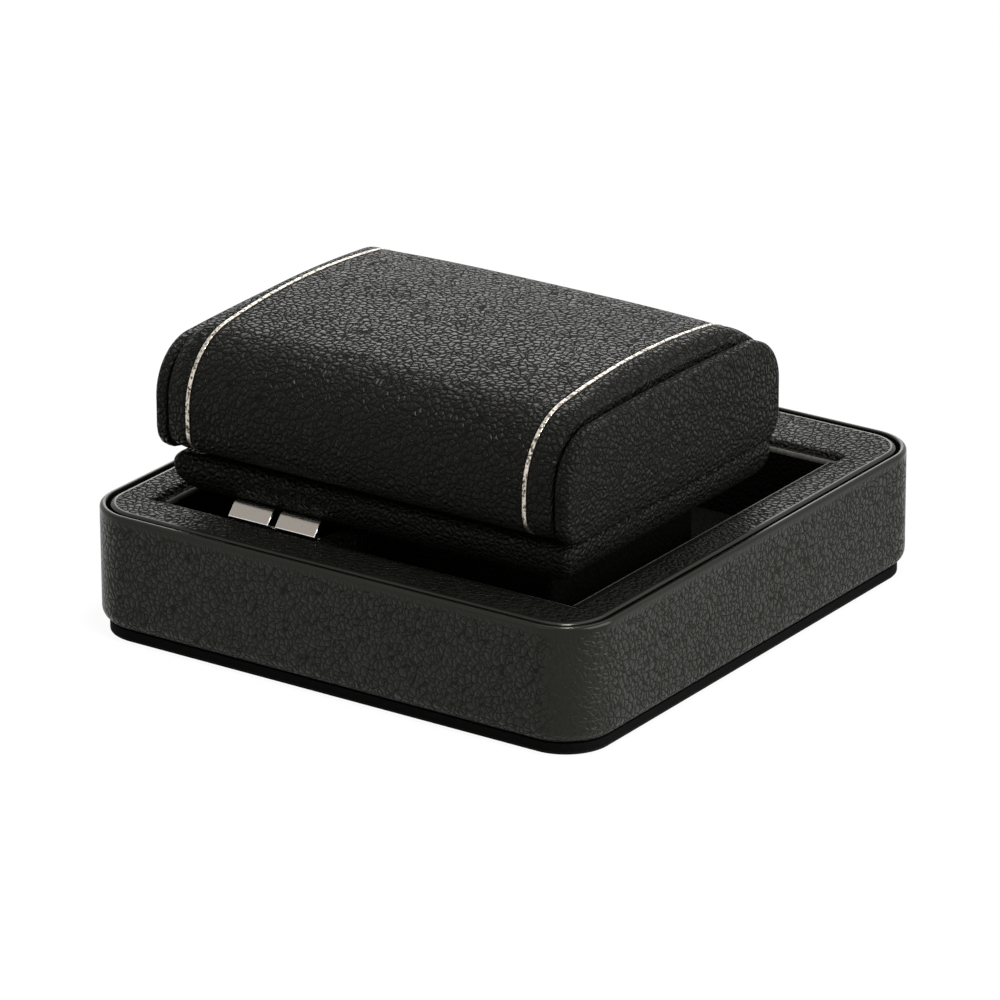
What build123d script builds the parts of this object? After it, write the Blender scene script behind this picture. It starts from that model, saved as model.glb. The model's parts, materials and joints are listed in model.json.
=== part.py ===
from build123d import *
from math import cos, pi, radians, sin, sqrt
import os

# A single watch stand: a low leather-wrapped base with a lined well, a padded pedestal in the well,
# a lift-off watch cushion on the pedestal and a pair of cufflinks held in the slot in front of it.
# Origin: bottom centre of the base. X runs along the cushion, -Y is the front, Z is up.

# Base outline and heights
base_width = 120.0
base_depth = 125.0
base_corner_radius = 11.2
felt_thickness = 0.6
plate_thickness = 1.7
plate_inset = 1.5
band_height = 24.5
band_thickness = 1.3
band_top_roll = 1.1
band_bottom_roll = 3.0
carcass_edge_ease = 1.2

# Rim panel round the well
rim_side_width = 10.0
rim_front_width = 12.3
rim_rear_width = 17.0
seam_width = 0.35
rim_board_thickness = 2.4
rim_padding_thickness = 1.2
rim_leather_thickness = 1.0
rim_outer_roll = 1.6
rim_lip_roll = 1.0

# Well
floor_board_thickness = 5.8
lining_thickness = 1.0
liner_thickness = 2.0
lining_edge_roll = 0.4
ledge_drop = 1.1
fit_gap = 0.1
divider_width = 5.8
divider_offset = -8.3

# Pedestal: a narrow neck under a padded top
neck_width = 72.0
neck_depth = 50.0
neck_wrap_thickness = 0.8
dowel_diameter = 6.0
dowel_spacing = 36.0
dowel_in_board = 4.0
dowel_in_neck = 10.0
dowel_clearance = 0.05
pad_width = 94.4
pad_depth = 72.8
pad_front_gap = 1.8
pad_lift = 1.4
pad_side_bulge = 6.8
pad_under_height = 6.3
pad_top_roll = 2.2
pad_corner_radius = 2.4
pad_leather_thickness = 1.0
pad_board_thickness = 2.0
keeper_length = 16.0
keeper_thickness = 0.8
keeper_spacing = 50.0

# Watch cushion
panel_width = 78.6
stripe_width = 1.2
stripe_proud = 0.12
stripe_depth = 0.7
shoulder_width = 5.0
groove_width = 0.5
cap_thickness = 3.0
cap_edge_roll = 1.3
cap_edge_ease = 0.5
cap_drop = 0.9
body_height = 26.0
body_depth = 76.8
body_front_radius = 15.0
body_rear_radius = 15.0
body_crown_radius = 190.0
body_crown_offset = 1.0
shoulder_drop = 4.0
shoulder_front_set_back = 1.1
shoulder_rear_set_back = 0.1
shoulder_end_slope = 0.8
end_front_radius = 11.0
end_rear_radius = 10.0
end_crown_radius = 700.0
body_bottom_roll = 2.4
cushion_overhang = 3.8
panel_thickness = 1.2
foam_thickness = 5.0
panel_turn_under = 9.0
cushion_board_thickness = 1.6
cushion_board_inset = 7.0
end_board_set_back = 1.6
inner_corner_radius = 0.5
magnet_length = 12.0

# Cufflinks
cufflink_width = 9.6
cufflink_length = 4.2
cufflink_thickness = 1.2
cufflink_edge_bevel = 0.3
cufflink_tilt = 45.0
cufflink_pitch = 11.3
cufflink_pair_offset = -22.0
cufflink_lip_gap = 0.3
cufflink_lip_rise = 0.15
bridge_thickness = 1.0
bridge_width = 2.4
arm_thickness = 0.5
arm_length = 5.8
toggle_length = 8.0
toggle_diameter = 1.9
toggle_side_gap = 0.05
pin_diameter = 0.7
pin_clearance = 0.03
arm_nose = 1.0

# Heights that follow
plate_bottom = felt_thickness
plate_top = plate_bottom + plate_thickness
band_top = plate_top + band_height
carcass_bottom = plate_top + band_thickness
rim_top = band_top
rim_leather_bottom = rim_top - rim_leather_thickness
rim_padding_bottom = rim_leather_bottom - rim_padding_thickness
rim_board_bottom = rim_padding_bottom - rim_board_thickness
floor_board_top = plate_top + floor_board_thickness
floor_top = floor_board_top + lining_thickness
ledge_top = rim_top - ledge_drop
pad_bottom = rim_top + pad_lift
pad_widest = pad_bottom + pad_under_height
pad_top = pad_widest + pad_top_roll
pad_draw_in = pad_side_bulge - sqrt(pad_side_bulge ** 2 - pad_under_height ** 2)
body_bottom = pad_top + cushion_board_thickness
body_top = body_bottom + body_height
cap_bottom = body_bottom - cap_drop

# Plan positions that follow
well_right = base_width / 2 - rim_side_width
well_front = -base_depth / 2 + rim_front_width
well_rear = base_depth / 2 - rim_rear_width
lined_right = well_right - liner_thickness
lined_front = well_front + liner_thickness
lined_rear = well_rear - liner_thickness
divider_left = divider_offset - divider_width / 2
divider_right = divider_offset + divider_width / 2
pad_front = well_front + pad_front_gap
pad_rear = pad_front + pad_depth
pad_middle = (pad_front + pad_rear) / 2
neck_front = pad_middle - neck_depth / 2
neck_rear = pad_middle + neck_depth / 2
neck_inner_width = neck_width - 2 * neck_wrap_thickness
body_front = pad_front - cushion_overhang
body_rear = body_front + body_depth
body_crown_y = (body_front + body_rear) / 2 + body_crown_offset
stripe_inner = panel_width / 2
stripe_outer = stripe_inner + stripe_width
shoulder_end = stripe_outer + shoulder_width
cap_inner = shoulder_end + groove_width
cap_outer = cap_inner + cap_thickness


def slab(x0, x1, y0, y1, z0, z1):
    """A box between two corners."""
    return Pos((x0 + x1) / 2, (y0 + y1) / 2, (z0 + z1) / 2) * Box(x1 - x0, y1 - y0, z1 - z0)


def base_outline(inset, z0, z1):
    """The base's rounded rectangle, drawn in by inset, between two heights."""
    outline = RectangleRounded(base_width - 2 * inset, base_depth - 2 * inset, base_corner_radius - inset)
    return extrude(Pos(0, 0, z0) * outline, z1 - z0)


def well_block(outset, z0, z1):
    """The well's opening, let out by outset, between two heights."""
    return slab(-well_right - outset, well_right + outset, well_front - outset, well_rear + outset, z0, z1)


def rolled_edge(radius):
    """The height and the draw-in of each step of a rolled edge, from its flat to its side."""
    steps = 3
    turns = [pi / 2 * i / steps for i in range(steps + 1)]
    return [(radius * (1 - cos(turn)), radius * (1 - sin(turn))) for turn in turns]


def base_form(inset, levels):
    """The base's rounded rectangle, drawn in by inset and by what each listed height adds."""
    sections = []
    for z, draw in levels:
        drawn = inset + draw
        outline = RectangleRounded(base_width - 2 * drawn, base_depth - 2 * drawn, base_corner_radius - drawn)
        sections.append(Pos(0, 0, z) * outline)
    return loft(sections, ruled=True)


plane_tolerance = 0.001


def edges_at(solid, z):
    """The edges of a solid that lie in the plane at height z."""
    return solid.edges().filter_by(lambda e: abs(e.bounding_box().min.Z - z) < plane_tolerance
                                   and abs(e.bounding_box().max.Z - z) < plane_tolerance)


def dowels(clearance):
    """The two dowels that locate the neck on the floor, let out by clearance all over."""
    bottom = floor_board_top - dowel_in_board - clearance
    height = dowel_in_board + lining_thickness + dowel_in_neck + 2 * clearance
    return [Pos(side * dowel_spacing / 2, pad_middle, bottom + height / 2)
            * Cylinder(dowel_diameter / 2 + clearance, height) for side in (-1, 1)]


def bored(solid):
    """A solid with the bores that the dowels fill."""
    for dowel in dowels(dowel_clearance):
        solid -= dowel
    return solid


def base_felt():
    return base_outline(plate_inset, 0, felt_thickness)


def base_plate():
    return base_outline(plate_inset, plate_bottom, plate_top)


def carcass_block(top):
    """What the side band wraps, with its lower edge eased so that the leather can turn under it."""
    block = base_outline(band_thickness, carcass_bottom, top)
    return chamfer(edges_at(block, carcass_bottom), carcass_edge_ease)


def side_band():
    """Leather round the walls, rolled under them as far as the well and rolled in at the top."""
    levels = [(plate_top + rise, draw) for rise, draw in rolled_edge(band_bottom_roll)]
    levels += [(band_top - drop, draw) for drop, draw in reversed(rolled_edge(band_top_roll))]
    band = base_form(0, levels)
    return band - carcass_block(band_top) - well_block(0, plate_top, carcass_bottom)


def wall_frame(inset, outset, z0, z1):
    """The ring between the base's outline and the well."""
    return base_outline(inset, z0, z1) - well_block(outset, z0, z1)


def wall_parts(ring, outset, z0, z1):
    """A ring cut into a front and a rear rail across the full width and two side rails between them."""
    front = slab(-base_width, base_width, -base_depth, well_front - outset, z0, z1)
    rear = slab(-base_width, base_width, well_rear + outset, base_depth, z0, z1)
    left = slab(-base_width, -well_right - outset, well_front - outset, well_rear + outset, z0, z1)
    right = slab(well_right + outset, base_width, well_front - outset, well_rear + outset, z0, z1)
    return {"front": ring & front, "rear": ring & rear, "left": ring & left, "right": ring & right}


def carcass_walls():
    ring = carcass_block(rim_board_bottom) - well_block(0, carcass_bottom, rim_board_bottom)
    return wall_parts(ring, 0, carcass_bottom, rim_board_bottom)


rim_inset = band_thickness + seam_width
rim_board_inset = rim_inset + rim_leather_thickness


def tongue(inset, z0, z1):
    """The rim's tongue over the slot divider, back to the neck, between two heights."""
    return slab(divider_left + inset, divider_right - inset, well_front - rim_leather_thickness, neck_front, z0, z1)


def rim_boards():
    ring = wall_frame(rim_board_inset, rim_leather_thickness, rim_board_bottom, rim_padding_bottom)
    boards = wall_parts(ring, rim_leather_thickness, rim_board_bottom, rim_padding_bottom)
    boards["tongue"] = tongue(rim_leather_thickness, rim_board_bottom, rim_padding_bottom)
    return boards


def rim_padding():
    frame = wall_frame(rim_board_inset, rim_leather_thickness, rim_padding_bottom, rim_leather_bottom)
    return frame + tongue(rim_leather_thickness, rim_padding_bottom, rim_leather_bottom)


def rim_leather():
    levels = [(rim_board_bottom, 0)]
    levels += [(rim_top - drop, draw) for drop, draw in reversed(rolled_edge(rim_outer_roll))]
    cover = base_form(rim_inset, levels)
    cover -= well_block(0, rim_board_bottom, rim_top)
    cover += tongue(0, rim_board_bottom, rim_top)
    lip = [e for e in edges_at(cover, rim_top) if abs(e.center().X) < well_right + plane_tolerance
           and well_front - plane_tolerance < e.center().Y < well_rear + plane_tolerance
           and abs(e.center().Y - neck_front) > plane_tolerance]
    cover = fillet(lip, rim_lip_roll)
    cover -= wall_frame(rim_board_inset, rim_leather_thickness, rim_board_bottom, rim_leather_bottom)
    return cover - tongue(rim_leather_thickness, rim_board_bottom, rim_leather_bottom)


def floor_board():
    board = slab(-well_right + fit_gap, well_right - fit_gap, well_front + fit_gap, well_rear - fit_gap,
                 plate_top, floor_board_top)
    return bored(board)


def floor_lining():
    return bored(slab(-well_right + fit_gap, well_right - fit_gap, well_front + fit_gap, well_rear - fit_gap,
                      floor_board_top, floor_top))


def wall_linings():
    """Lining panels that stand on the floor with their top edge a little below the rim's lip."""
    panels = {
        "front_left": slab(-well_right, divider_left, well_front, lined_front, floor_top, ledge_top),
        "front_right": slab(divider_right, well_right, well_front, lined_front, floor_top, ledge_top),
        "rear": slab(-well_right, well_right, lined_rear, well_rear, floor_top, ledge_top),
        "left": slab(-well_right, -lined_right, lined_front, lined_rear, floor_top, ledge_top),
        "right": slab(lined_right, well_right, lined_front, lined_rear, floor_top, ledge_top)}
    inner_edges = {"front_left": (Axis.Y, -1), "front_right": (Axis.Y, -1), "rear": (Axis.Y, 0),
                   "left": (Axis.X, -1), "right": (Axis.X, 0)}
    rolled = {}
    for side, panel in panels.items():
        axis, index = inner_edges[side]
        edge = edges_at(panel, ledge_top).sort_by(axis)[index]
        rolled[side] = fillet(edge, lining_edge_roll)
    return rolled


def slot_divider():
    """The board that parts the cufflink slot from the rest of the well, under the rim's tongue."""
    return slab(divider_left + lining_thickness, divider_right - lining_thickness, well_front, neck_front,
                floor_top, rim_board_bottom)


def divider_lining():
    return [slab(x, x + lining_thickness, well_front, neck_front, floor_top, rim_board_bottom)
            for x in (divider_left, divider_right - lining_thickness)]


def neck_block():
    block = slab(-neck_inner_width / 2, neck_inner_width / 2, neck_front + neck_wrap_thickness,
                 neck_rear - neck_wrap_thickness, floor_top, pad_bottom)
    return bored(block)


def neck_wrap():
    outer = slab(-neck_width / 2, neck_width / 2, neck_front, neck_rear, floor_top, pad_bottom)
    inner = slab(-neck_inner_width / 2, neck_inner_width / 2, neck_front + neck_wrap_thickness,
                 neck_rear - neck_wrap_thickness, floor_top, pad_bottom)
    return outer - inner


def pad_form():
    """The pedestal's padded top: widest near its top, rolled over above and drawn in below."""
    steps_below = 5
    steps_above = 3
    levels = []
    for i in range(steps_below, 0, -1):
        drop = pad_under_height * i / steps_below
        levels.append((pad_widest - drop, pad_side_bulge - sqrt(pad_side_bulge ** 2 - drop ** 2)))
    for i in range(steps_above + 1):
        turn = pi / 2 * i / steps_above
        levels.append((pad_widest + pad_top_roll * sin(turn), pad_top_roll * (1 - cos(turn))))
    sections = []
    for z, draw in levels:
        radius = pad_corner_radius * (1 - draw / pad_side_bulge)
        outline = RectangleRounded(pad_width - 2 * draw, pad_depth - 2 * draw, radius)
        sections.append(Pos(0, pad_middle, z) * outline)
    return loft(sections, ruled=True)


def pad_block(bottom, top):
    """The upright-sided space inside the pad's cover, between two heights."""
    inset = pad_draw_in + pad_leather_thickness
    return slab(-pad_width / 2 + inset, pad_width / 2 - inset, pad_front + inset, pad_rear - inset, bottom, top)


def pad_leather():
    """The pad's cover: leather over the wadding that fills out its rolled sides."""
    return pad_form() - pad_block(pad_bottom, pad_top - pad_leather_thickness)


def pad_board():
    return pad_block(pad_bottom, pad_bottom + pad_board_thickness)


def paired_plates(length, z0, z1):
    """Two square plates under the middle of each half of the cushion, between two heights."""
    return [Pos(side * keeper_spacing / 2, pad_middle, (z0 + z1) / 2) * Box(length, length, z1 - z0)
            for side in (-1, 1)]


def keeper_plates():
    top = pad_top - pad_leather_thickness
    return paired_plates(keeper_length, top - keeper_thickness, top)


def pad_foam():
    foam = pad_block(pad_bottom + pad_board_thickness, pad_top - pad_leather_thickness)
    for plate in keeper_plates():
        foam -= plate
    return foam


# The watch cushion, as cross sections placed along X
def cushion_outline(x, front, rear, bottom, top, front_radius, rear_radius, crown_radius, crown_y, bottom_roll):
    """A cross section of the cushion: upright front and rear, big rolled top corners, a shallow crown."""
    crown_z = top - crown_radius

    def corner(y, radius, side):
        """Centre of a top corner's arc, and the point where it meets the crown."""
        centre_y = y + side * radius
        reach = crown_radius - radius
        centre_z = crown_z + sqrt(reach ** 2 - (centre_y - crown_y) ** 2)
        scale = crown_radius / reach
        meet = (crown_y + (centre_y - crown_y) * scale, crown_z + (centre_z - crown_z) * scale)
        return (centre_y, centre_z), meet

    def on_arc(centre, radius, start, end):
        """The point halfway along an arc about a centre."""
        dy = (start[0] + end[0]) / 2 - centre[0]
        dz = (start[1] + end[1]) / 2 - centre[1]
        length = sqrt(dy * dy + dz * dz)
        return (centre[0] + dy * radius / length, centre[1] + dz * radius / length)

    def arc(centre, radius, start, end):
        middle = on_arc(centre, radius, start, end)
        return ThreePointArc((x, *start), (x, *middle), (x, *end))

    front_centre, front_meet = corner(front, front_radius, 1)
    rear_centre, rear_meet = corner(rear, rear_radius, -1)
    front_rise = (front, front_centre[1])
    rear_rise = (rear, rear_centre[1])
    front_foot = (front, bottom + bottom_roll)
    rear_foot = (rear, bottom + bottom_roll)
    front_under = (front + bottom_roll, bottom)
    rear_under = (rear - bottom_roll, bottom)
    edges = [
        Line((x, *front_foot), (x, *front_rise)),
        arc(front_centre, front_radius, front_rise, front_meet),
        arc((crown_y, crown_z), crown_radius, front_meet, rear_meet),
        arc(rear_centre, rear_radius, rear_meet, rear_rise),
        Line((x, *rear_rise), (x, *rear_foot)),
        arc((rear_under[0], rear_foot[1]), bottom_roll, rear_foot, rear_under),
        Line((x, *rear_under), (x, *front_under)),
        arc((front_under[0], front_foot[1]), bottom_roll, front_under, front_foot)]
    return Face(Wire(edges))


def body_section(x, inset):
    """The section between the stripes, drawn in by inset."""
    return cushion_outline(
        x, body_front + inset, body_rear - inset, body_bottom + max(inset, 0), body_top - inset,
        body_front_radius - inset, body_rear_radius - inset, body_crown_radius - inset, body_crown_y,
        max(body_bottom_roll - inset, inner_corner_radius))


def end_section(x, inset, bottom):
    """The section at the cushion's ends, drawn in by inset."""
    return cushion_outline(
        x, body_front + shoulder_front_set_back + inset, body_rear - shoulder_rear_set_back - inset,
        bottom + max(inset, 0), body_top - shoulder_drop - inset, end_front_radius - inset,
        end_rear_radius - inset, end_crown_radius - inset, body_crown_y,
        max(body_bottom_roll - inset, inner_corner_radius))


def shoulder_section(x):
    """A section on the rounded shoulder, which falls off slowly at first and steeply at the groove."""
    along = (abs(x) - stripe_outer) / shoulder_width
    fall = 1 - sqrt(1 - (shoulder_end_slope * along) ** 2)
    share = fall / (1 - sqrt(1 - shoulder_end_slope ** 2))

    def blend(start, end):
        return start + (end - start) * share

    return cushion_outline(
        x, blend(body_front, body_front + shoulder_front_set_back),
        blend(body_rear, body_rear - shoulder_rear_set_back), body_bottom,
        blend(body_top, body_top - shoulder_drop), blend(body_front_radius, end_front_radius),
        blend(body_rear_radius, end_rear_radius), blend(body_crown_radius, end_crown_radius), body_crown_y,
        body_bottom_roll)


def prism(section, length):
    """A section pushed along +X."""
    return extrude(section, length, dir=(1, 0, 0))


core_inset = panel_thickness + foam_thickness


def cushion_core():
    return slab(-shoulder_end, shoulder_end, body_front + core_inset, body_rear - core_inset,
                body_bottom, body_top - core_inset - shoulder_drop)


def under_gap():
    """The space under the body where the turned-under leather stops."""
    return slab(-cap_outer, cap_outer, body_front + panel_turn_under, body_rear - panel_turn_under,
                pad_top, body_bottom + panel_thickness)


def cushion_foam():
    foam = prism(body_section(-stripe_inner, panel_thickness), panel_width)
    return foam - cushion_core()


def centre_panel():
    outer = prism(body_section(-stripe_inner, 0), panel_width)
    inner = prism(body_section(-stripe_inner, panel_thickness), panel_width)
    return outer - inner - cushion_core() - under_gap()


def stripe(side):
    start = stripe_inner if side > 0 else -stripe_outer
    outer = prism(body_section(start, -stripe_proud), stripe_width)
    inner = prism(body_section(start, stripe_depth), stripe_width)
    underside = slab(-cap_outer, cap_outer, body_front + body_bottom_roll, body_rear - body_bottom_roll,
                     pad_top, body_bottom + stripe_depth)
    return outer - inner - underside


def stripe_bed(side):
    """Leather and wadding under a stripe."""
    start = stripe_inner if side > 0 else -stripe_outer
    return prism(body_section(start, stripe_depth), stripe_width)


def shoulder(side):
    steps = 4
    sections = [shoulder_section(side * (stripe_outer + shoulder_width * i / steps)) for i in range(steps + 1)]
    roll = loft(sections, ruled=True)
    return roll + stripe_bed(side) - cushion_core()


def end_cap(side):
    """A padded end, eased at the groove and rolled over at its outer edge."""
    steps = [(0, cap_edge_ease), (cap_edge_ease, 0), (cap_thickness - cap_edge_roll, 0),
             (cap_thickness - cap_edge_roll * (1 - sin(radians(45))), cap_edge_roll * (1 - cos(radians(45)))),
             (cap_thickness, cap_edge_roll)]
    sections = [end_section(side * (cap_inner + along), inset, cap_bottom) for along, inset in steps]
    return loft(sections, ruled=True)


def end_board(side):
    """The board that the end cap is glued to, set back so that it shows as a dark groove."""
    start = shoulder_end if side > 0 else -cap_inner
    return prism(end_section(start, end_board_set_back, body_bottom), groove_width)


cushion_board_front = body_front + cushion_board_inset
cushion_board_rear = body_rear - cushion_board_inset


def magnets():
    return paired_plates(magnet_length, pad_top, body_bottom)


def cushion_board():
    board = slab(-stripe_outer, stripe_outer, cushion_board_front, cushion_board_rear, pad_top, body_bottom)
    for magnet in magnets():
        board -= magnet
    return board


# Cufflinks: built flat with the face's top centre at the origin and the arms along -Z, then tilted
cufflink_front_y = well_front + cufflink_lip_gap
cufflink_front_z = rim_top + cufflink_lip_rise
face_along = (cos(radians(cufflink_tilt)), sin(radians(cufflink_tilt)))
cufflink_y = cufflink_front_y + face_along[0] * cufflink_length / 2
cufflink_z = cufflink_front_z + face_along[1] * cufflink_length / 2
cufflink_x = {"left": cufflink_pair_offset - cufflink_pitch / 2, "right": cufflink_pair_offset + cufflink_pitch / 2}
arm_gap = toggle_diameter + 2 * toggle_side_gap
toggle_centre = -(cufflink_thickness + bridge_thickness + arm_length - arm_nose)


def placed(shape, side):
    return Pos(cufflink_x[side], cufflink_y, cufflink_z) * Rot(cufflink_tilt, 0, 0) * shape


def cufflink_face(side):
    face = Pos(0, 0, -cufflink_thickness / 2) * Box(cufflink_width, cufflink_length, cufflink_thickness)
    face = chamfer(face.edges().filter_by(Axis.Z), cufflink_edge_bevel)
    return placed(chamfer(face.faces().sort_by(Axis.Z)[-1].edges(), cufflink_edge_bevel), side)


def cufflink_bracket(side):
    """A bridge under the face with two arms that carry the toggle between them."""
    outer = arm_gap / 2 + arm_thickness
    bridge_bottom = -cufflink_thickness - bridge_thickness
    bracket = slab(-bridge_width / 2, bridge_width / 2, -outer, outer, bridge_bottom, -cufflink_thickness)
    for sy in (-1, 1):
        y0, y1 = sorted((sy * arm_gap / 2, sy * outer))
        arm = slab(-arm_nose, arm_nose, y0, y1, toggle_centre, bridge_bottom)
        nose = Pos(0, (y0 + y1) / 2, toggle_centre) * Rot(90, 0, 0) * Cylinder(arm_nose, arm_thickness)
        bracket += arm + nose
    hole = Pos(0, 0, toggle_centre) * Rot(90, 0, 0) * Cylinder(pin_diameter / 2, 2 * outer)
    return placed(bracket - hole, side)


def cufflink_pin(side):
    length = arm_gap + 2 * arm_thickness
    return placed(Pos(0, 0, toggle_centre) * Rot(90, 0, 0) * Cylinder(pin_diameter / 2, length), side)


def cufflink_toggle(side):
    """A bar across the arms that turns on the pin."""
    bar = Rot(0, 90, 0) * Cylinder(toggle_diameter / 2, toggle_length)
    hole = Rot(90, 0, 0) * Cylinder(pin_diameter / 2 + pin_clearance, toggle_diameter * 2)
    return placed(Pos(0, 0, toggle_centre) * (bar - hole), side)


def save(name, shape):
    """Write one sub-part, which may be a list of separate solids."""
    pieces = shape if isinstance(shape, list) else shape.solids()
    part = pieces[0] if len(pieces) == 1 else Compound(children=list(pieces))
    export_step(part, f"parts/{name}.step")


def main():
    os.makedirs("parts", exist_ok=True)
    save("base_felt", base_felt())
    save("base_plate", base_plate())
    save("side_band", side_band())
    for side, wall in carcass_walls().items():
        save(f"carcass_{side}", wall)
    for side, board in rim_boards().items():
        save(f"rim_board_{side}", board)
    save("rim_padding", rim_padding())
    save("rim_leather", rim_leather())
    save("well_floor_board", floor_board())
    save("well_floor_lining", floor_lining())
    for side, panel in wall_linings().items():
        save(f"well_lining_{side}", panel)
    save("slot_divider", slot_divider())
    save("divider_lining", divider_lining())
    save("neck_dowels", dowels(0))
    save("neck_block", neck_block())
    save("neck_wrap", neck_wrap())
    save("pad_board", pad_board())
    save("pad_foam", pad_foam())
    save("pad_leather", pad_leather())
    save("keeper_plates", keeper_plates())
    save("cushion_core", cushion_core())
    save("cushion_foam", cushion_foam())
    save("cushion_panel", centre_panel())
    save("cushion_board", cushion_board())
    save("cushion_magnets", magnets())
    for side, sign in (("left", -1), ("right", 1)):
        save(f"stripe_{side}", stripe(sign))
        save(f"shoulder_{side}", shoulder(sign))
        save(f"end_board_{side}", end_board(sign))
        save(f"end_cap_{side}", end_cap(sign))
        save(f"cufflink_face_{side}", cufflink_face(side))
        save(f"cufflink_bracket_{side}", cufflink_bracket(side))
        save(f"cufflink_pin_{side}", cufflink_pin(side))
        save(f"cufflink_toggle_{side}", cufflink_toggle(side))


main()
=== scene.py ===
import json
import math

import bmesh
import bpy
from bpy.props import FloatProperty, FloatVectorProperty, PointerProperty
from bpy.types import Operator, Panel, PropertyGroup
from mathutils import Matrix, Vector


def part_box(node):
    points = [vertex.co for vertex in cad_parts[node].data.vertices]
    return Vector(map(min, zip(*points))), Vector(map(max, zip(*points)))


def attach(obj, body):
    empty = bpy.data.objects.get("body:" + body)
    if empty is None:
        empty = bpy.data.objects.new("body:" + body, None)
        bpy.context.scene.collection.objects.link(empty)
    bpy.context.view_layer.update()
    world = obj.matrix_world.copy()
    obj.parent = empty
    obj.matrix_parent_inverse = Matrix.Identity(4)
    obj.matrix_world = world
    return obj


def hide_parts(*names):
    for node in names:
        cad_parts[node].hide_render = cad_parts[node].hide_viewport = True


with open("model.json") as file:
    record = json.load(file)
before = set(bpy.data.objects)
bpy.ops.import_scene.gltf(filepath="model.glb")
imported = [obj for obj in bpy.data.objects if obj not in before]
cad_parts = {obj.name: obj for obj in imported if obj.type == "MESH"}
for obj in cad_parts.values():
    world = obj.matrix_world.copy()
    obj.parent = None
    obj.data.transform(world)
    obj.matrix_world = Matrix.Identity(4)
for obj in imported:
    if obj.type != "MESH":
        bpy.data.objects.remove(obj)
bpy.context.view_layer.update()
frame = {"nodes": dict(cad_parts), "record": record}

bl_info = {
    "name": "Watch Stand",
    "version": (1, 0, 0),
    "blender": (4, 5, 0),
    "location": "View3D > Sidebar > Watch Stand",
    "description": "Leather watch stand with a lined well, a padded pedestal, a lift-off cushion and two cufflinks",
    "category": "Add Mesh",
}

MM = 0.001
WHITE = (1.0, 1.0, 1.0, 1.0)
SLOT_OF = {part["node"]: part["material_slot"] for part in frame["record"]["subparts"]}


# Sizes and colours that a user would change

def length(name, description, millimetres):
    """A length setting whose default is given in millimetres."""
    return FloatProperty(name=name, description=description, default=millimetres * MM, min=0.0,
                         subtype="DISTANCE", unit="LENGTH", precision=5)


def colour(name, surface, default):
    """A colour setting for one kind of surface."""
    return FloatVectorProperty(name=name, description=f"Colour of the {surface}", default=default,
                               min=0.0, max=1.0, size=3, subtype="COLOR")


class StandBaseSizes(PropertyGroup):
    """Sizes of the leather-wrapped base, its rim and its well."""
    corner_radius: length("Corner radius", "Radius of the base's upright corners", 11.2)
    plate_inset: length("Plate inset", "How far the base plate and its felt are set in", 1.5)
    felt_ease: length("Felt ease", "Worn roll of the felt's lower edge", 0.25)
    band_thickness: length("Band thickness", "Thickness of the leather round the walls", 1.3)
    band_top_roll: length("Band top roll", "How far the side leather rolls in at the top", 0.8)
    band_inner_roll: length("Band inner roll", "Roll of the side leather's inner edge at the seam", 0.4)
    band_bottom_roll: length("Band bottom roll", "How far the side leather rolls in at the bottom", 3.0)
    seam_width: length("Seam width", "Width of the seam groove between side leather and rim", 0.35)
    rim_outer_roll: length("Rim outer roll", "Roll of the rim's padding at the seam", 1.6)
    rim_lip_roll: length("Rim lip roll", "Roll of the leather folded over the well's edge", 1.7)
    rim_leather: length("Rim leather", "Thickness of the leather on the rim and its tongue", 1.0)
    lining_roll: length("Lining roll", "Roll of the linings' top edges", 0.8)
    neck_corner: length("Neck corner", "Radius of the neck's wrapped corners", 1.2)


class StandPadSizes(PropertyGroup):
    """Sizes of the pedestal's padded top."""
    corner_radius: length("Corner radius", "Radius of the pad's upright corners", 2.4)
    side_bulge: length("Side bulge", "Radius of the pad's side below its widest line", 6.8)
    top_roll: length("Top roll", "Radius of the pad's roll above its widest line", 2.2)


class StandCushionSizes(PropertyGroup):
    """Sizes of the watch cushion's sections."""
    front_radius: length("Front radius", "Roll of the cushion's upper front edge", 15.0)
    rear_radius: length("Rear radius", "Roll of the cushion's upper rear edge", 15.0)
    crown_radius: length("Crown radius", "Radius of the cushion's shallow crown", 190.0)
    crown_offset: length("Crown offset", "How far the crown's highest line lies behind the middle", 1.0)
    foot_radius: length("Foot radius", "Roll of the cushion's lower edges", 5.0)
    end_front_radius: length("End front radius", "Roll of the upper front edge at the ends", 11.0)
    end_rear_radius: length("End rear radius", "Roll of the upper rear edge at the ends", 10.0)
    end_crown_radius: length("End crown radius", "Radius of the crown at the ends", 700.0)
    centre_swell: length("Centre swell", "How far the padded middle stands above its ends", 0.6)
    seam_tuck: length("Seam tuck", "How far the leather tucks in beside a stripe", 0.3)
    groove_tuck: length("Groove tuck", "How far the shoulder rolls in at the end groove", 0.8)
    cap_roll: length("Cap roll", "Roll of the end caps' outer edges", 1.3)
    cap_ease: length("Cap ease", "Roll of the end caps' inner edges", 0.5)
    cap_bulge: length("Cap bulge", "How far the padded end caps swell", 0.5)
    stripe_proud: length("Stripe proud", "How far the stripes stand above the leather", 0.12)
    stripe_gap: length("Stripe gap", "Dark line left along each edge of a stripe", 0.14)
    shoulder_slope: FloatProperty(name="Shoulder slope", description="How steeply the shoulders end, 1 being upright",
                                  default=0.8, min=0.1, max=0.98)


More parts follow.
